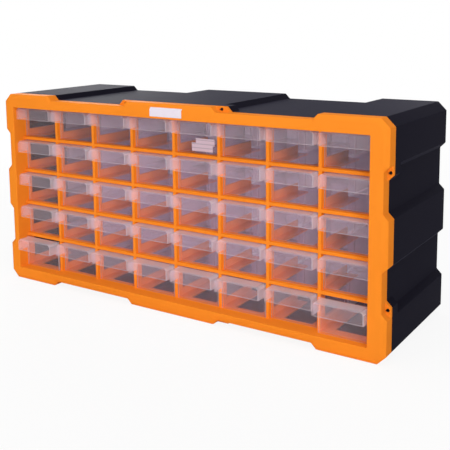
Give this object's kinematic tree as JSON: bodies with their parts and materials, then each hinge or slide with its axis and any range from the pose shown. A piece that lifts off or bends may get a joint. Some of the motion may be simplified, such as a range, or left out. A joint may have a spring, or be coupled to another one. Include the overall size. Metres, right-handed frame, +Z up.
{
  "type": "small parts cabinet",
  "caption": "Wide desk-top parts cabinet: a bevelled front frame with a grid of runners on a tabbed case, and rows of clear pull-out drawers with finger hoods.",
  "frame": {"origin": "middle of the cabinet's bottom, on the surface that it stands on", "axes": "+X to the right as seen from the front, +Y from the drawer fronts to the back, +Z up"},
  "size_m": [0.5, 0.1727, 0.233],
  "materials": {
    "frame_orange": "satin",
    "case_black": "satin",
    "screw_black": "satin",
    "drawer_clear": "clear"
  },
  "bodies": {
    "cabinet": {"front_frame": "frame_orange", "case": "case_black", "frame_screws": "screw_black"},
    "drawer_1_1": {"drawer_1_1": "drawer_clear"},
    "drawer_1_2": {"drawer_1_2": "drawer_clear"},
    "drawer_1_3": {"drawer_1_3": "drawer_clear"},
    "drawer_1_4": {"drawer_1_4": "drawer_clear"},
    "drawer_1_5": {"drawer_1_5": "drawer_clear"},
    "drawer_1_6": {"drawer_1_6": "drawer_clear"},
    "drawer_1_7": {"drawer_1_7": "drawer_clear"},
    "drawer_1_8": {"drawer_1_8": "drawer_clear"},
    "drawer_2_1": {"drawer_2_1": "drawer_clear"},
    "drawer_2_2": {"drawer_2_2": "drawer_clear"},
    "drawer_2_3": {"drawer_2_3": "drawer_clear"},
    "drawer_2_4": {"drawer_2_4": "drawer_clear"},
    "drawer_2_5": {"drawer_2_5": "drawer_clear"},
    "drawer_2_6": {"drawer_2_6": "drawer_clear"},
    "drawer_2_7": {"drawer_2_7": "drawer_clear"},
    "drawer_2_8": {"drawer_2_8": "drawer_clear"},
    "drawer_3_1": {"drawer_3_1": "drawer_clear"},
    "drawer_3_2": {"drawer_3_2": "drawer_clear"},
    "drawer_3_3": {"drawer_3_3": "drawer_clear"},
    "drawer_3_4": {"drawer_3_4": "drawer_clear"},
    "drawer_3_5": {"drawer_3_5": "drawer_clear"},
    "drawer_3_6": {"drawer_3_6": "drawer_clear"},
    "drawer_3_7": {"drawer_3_7": "drawer_clear"},
    "drawer_3_8": {"drawer_3_8": "drawer_clear"},
    "drawer_4_1": {"drawer_4_1": "drawer_clear"},
    "drawer_4_2": {"drawer_4_2": "drawer_clear"},
    "drawer_4_3": {"drawer_4_3": "drawer_clear"},
    "drawer_4_4": {"drawer_4_4": "drawer_clear"},
    "drawer_4_5": {"drawer_4_5": "drawer_clear"},
    "drawer_4_6": {"drawer_4_6": "drawer_clear"},
    "drawer_4_7": {"drawer_4_7": "drawer_clear"},
    "drawer_4_8": {"drawer_4_8": "drawer_clear"},
    "drawer_5_1": {"drawer_5_1": "drawer_clear"},
    "drawer_5_2": {"drawer_5_2": "drawer_clear"},
    "drawer_5_3": {"drawer_5_3": "drawer_clear"},
    "drawer_5_4": {"drawer_5_4": "drawer_clear"},
    "drawer_5_5": {"drawer_5_5": "drawer_clear"},
    "drawer_5_6": {"drawer_5_6": "drawer_clear"},
    "drawer_5_7": {"drawer_5_7": "drawer_clear"},
    "drawer_5_8": {"drawer_5_8": "drawer_clear"}
  },
  "joints": [
    {"name": "drawer_1_1_slide", "type": "slide", "parent": "cabinet", "child": "drawer_1_1", "axis": [0, -1, 0], "range_m": [0, 0.128]},
    {"name": "drawer_1_2_slide", "type": "slide", "parent": "cabinet", "child": "drawer_1_2", "axis": [0, -1, 0], "range_m": [0, 0.128]},
    {"name": "drawer_1_3_slide", "type": "slide", "parent": "cabinet", "child": "drawer_1_3", "axis": [0, -1, 0], "range_m": [0, 0.128]},
    {"name": "drawer_1_4_slide", "type": "slide", "parent": "cabinet", "child": "drawer_1_4", "axis": [0, -1, 0], "range_m": [0, 0.128]},
    {"name": "drawer_1_5_slide", "type": "slide", "parent": "cabinet", "child": "drawer_1_5", "axis": [0, -1, 0], "range_m": [0, 0.128]},
    {"name": "drawer_1_6_slide", "type": "slide", "parent": "cabinet", "child": "drawer_1_6", "axis": [0, -1, 0], "range_m": [0, 0.128]},
    {"name": "drawer_1_7_slide", "type": "slide", "parent": "cabinet", "child": "drawer_1_7", "axis": [0, -1, 0], "range_m": [0, 0.128]},
    {"name": "drawer_1_8_slide", "type": "slide", "parent": "cabinet", "child": "drawer_1_8", "axis": [0, -1, 0], "range_m": [0, 0.128]},
    {"name": "drawer_2_1_slide", "type": "slide", "parent": "cabinet", "child": "drawer_2_1", "axis": [0, -1, 0], "range_m": [0, 0.128]},
    {"name": "drawer_2_2_slide", "type": "slide", "parent": "cabinet", "child": "drawer_2_2", "axis": [0, -1, 0], "range_m": [0, 0.128]},
    {"name": "drawer_2_3_slide", "type": "slide", "parent": "cabinet", "child": "drawer_2_3", "axis": [0, -1, 0], "range_m": [0, 0.128]},
    {"name": "drawer_2_4_slide", "type": "slide", "parent": "cabinet", "child": "drawer_2_4", "axis": [0, -1, 0], "range_m": [0, 0.128]},
    {"name": "drawer_2_5_slide", "type": "slide", "parent": "cabinet", "child": "drawer_2_5", "axis": [0, -1, 0], "range_m": [0, 0.128]},
    {"name": "drawer_2_6_slide", "type": "slide", "parent": "cabinet", "child": "drawer_2_6", "axis": [0, -1, 0], "range_m": [0, 0.128]},
    {"name": "drawer_2_7_slide", "type": "slide", "parent": "cabinet", "child": "drawer_2_7", "axis": [0, -1, 0], "range_m": [0, 0.128]},
    {"name": "drawer_2_8_slide", "type": "slide", "parent": "cabinet", "child": "drawer_2_8", "axis": [0, -1, 0], "range_m": [0, 0.128]},
    {"name": "drawer_3_1_slide", "type": "slide", "parent": "cabinet", "child": "drawer_3_1", "axis": [0, -1, 0], "range_m": [0, 0.128]},
    {"name": "drawer_3_2_slide", "type": "slide", "parent": "cabinet", "child": "drawer_3_2", "axis": [0, -1, 0], "range_m": [0, 0.128]},
    {"name": "drawer_3_3_slide", "type": "slide", "parent": "cabinet", "child": "drawer_3_3", "axis": [0, -1, 0], "range_m": [0, 0.128]},
    {"name": "drawer_3_4_slide", "type": "slide", "parent": "cabinet", "child": "drawer_3_4", "axis": [0, -1, 0], "range_m": [0, 0.128]},
    {"name": "drawer_3_5_slide", "type": "slide", "parent": "cabinet", "child": "drawer_3_5", "axis": [0, -1, 0], "range_m": [0, 0.128]},
    {"name": "drawer_3_6_slide", "type": "slide", "parent": "cabinet", "child": "drawer_3_6", "axis": [0, -1, 0], "range_m": [0, 0.128]},
    {"name": "drawer_3_7_slide", "type": "slide", "parent": "cabinet", "child": "drawer_3_7", "axis": [0, -1, 0], "range_m": [0, 0.128]},
    {"name": "drawer_3_8_slide", "type": "slide", "parent": "cabinet", "child": "drawer_3_8", "axis": [0, -1, 0], "range_m": [0, 0.128]},
    {"name": "drawer_4_1_slide", "type": "slide", "parent": "cabinet", "child": "drawer_4_1", "axis": [0, -1, 0], "range_m": [0, 0.128]},
    {"name": "drawer_4_2_slide", "type": "slide", "parent": "cabinet", "child": "drawer_4_2", "axis": [0, -1, 0], "range_m": [0, 0.128]},
    {"name": "drawer_4_3_slide", "type": "slide", "parent": "cabinet", "child": "drawer_4_3", "axis": [0, -1, 0], "range_m": [0, 0.128]},
    {"name": "drawer_4_4_slide", "type": "slide", "parent": "cabinet", "child": "drawer_4_4", "axis": [0, -1, 0], "range_m": [0, 0.128]},
    {"name": "drawer_4_5_slide", "type": "slide", "parent": "cabinet", "child": "drawer_4_5", "axis": [0, -1, 0], "range_m": [0, 0.128]},
    {"name": "drawer_4_6_slide", "type": "slide", "parent": "cabinet", "child": "drawer_4_6", "axis": [0, -1, 0], "range_m": [0, 0.128]},
    {"name": "drawer_4_7_slide", "type": "slide", "parent": "cabinet", "child": "drawer_4_7", "axis": [0, -1, 0], "range_m": [0, 0.128]},
    {"name": "drawer_4_8_slide", "type": "slide", "parent": "cabinet", "child": "drawer_4_8", "axis": [0, -1, 0], "range_m": [0, 0.128]},
    {"name": "drawer_5_1_slide", "type": "slide", "parent": "cabinet", "child": "drawer_5_1", "axis": [0, -1, 0], "range_m": [-0.0065, 0.1215]},
    {"name": "drawer_5_2_slide", "type": "slide", "parent": "cabinet", "child": "drawer_5_2", "axis": [0, -1, 0], "range_m": [-0.0005, 0.1275]},
    {"name": "drawer_5_3_slide", "type": "slide", "parent": "cabinet", "child": "drawer_5_3", "axis": [0, -1, 0], "range_m": [-0.001, 0.127]},
    {"name": "drawer_5_4_slide", "type": "slide", "parent": "cabinet", "child": "drawer_5_4", "axis": [0, -1, 0], "range_m": [-0.004, 0.124]},
    {"name": "drawer_5_5_slide", "type": "slide", "parent": "cabinet", "child": "drawer_5_5", "axis": [0, -1, 0], "range_m": [-0.004, 0.124]},
    {"name": "drawer_5_6_slide", "type": "slide", "parent": "cabinet", "child": "drawer_5_6", "axis": [0, -1, 0], "range_m": [-0.0045, 0.1235]},
    {"name": "drawer_5_7_slide", "type": "slide", "parent": "cabinet", "child": "drawer_5_7", "axis": [0, -1, 0], "range_m": [-0.001, 0.127]},
    {"name": "drawer_5_8_slide", "type": "slide", "parent": "cabinet", "child": "drawer_5_8", "axis": [0, -1, 0], "range_m": [-0.011, 0.117]}
  ]
}
